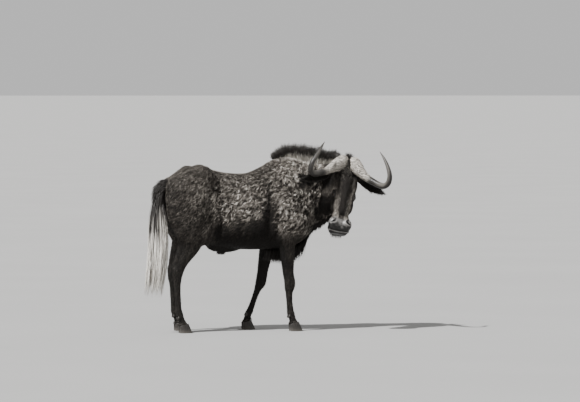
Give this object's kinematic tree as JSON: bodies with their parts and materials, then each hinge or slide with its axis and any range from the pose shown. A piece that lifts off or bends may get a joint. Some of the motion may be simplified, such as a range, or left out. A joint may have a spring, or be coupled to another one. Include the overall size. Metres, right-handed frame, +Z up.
{
  "type": "black wildebeest model",
  "caption": "Life-size standing black wildebeest bull with its head turned back, forward-hooked horns, upright mane, brushy face and long horse-like tail.",
  "frame": {"origin": "on the floor under the middle of the animal's bounding box", "axes": "+X the way the body faces, +Y the animal's left side, +Z up"},
  "size_m": [1.6752, 0.6788, 1.3153],
  "materials": {
    "coat": "short curly near-black hair, faintly brown where the light lies on it",
    "face_coat": "short black hair, with a brush of longer hair up the nose",
    "mane_coat": "curly dark hair, with an upright mane that is pale at its roots and black at its tips",
    "tail_hair": "long straight hair, dark over the dock and near white below",
    "horn": "rough pale grey boss that turns to smooth dark grey towards the tips",
    "hoof": "dull dark horn",
    "eye": "wet dark brown"
  },
  "bodies": {
    "root": {"claw_fore_left_inner": "hoof", "claw_fore_left_outer": "hoof", "claw_fore_right_inner": "hoof", "claw_fore_right_outer": "hoof", "claw_hind_left_inner": "hoof", "claw_hind_left_outer": "hoof", "claw_hind_right_inner": "hoof", "claw_hind_right_outer": "hoof", "ear_left": "coat", "ear_right": "coat", "eye_left": "eye", "eye_right": "eye", "fore_leg_left": "coat", "fore_leg_right": "coat", "head": "face_coat", "hind_leg_left": "coat", "hind_leg_right": "coat", "horn_left": "horn", "horn_right": "horn", "neck": "mane_coat", "tail": "tail_hair", "torso": "coat"}
  },
  "joints": []
}
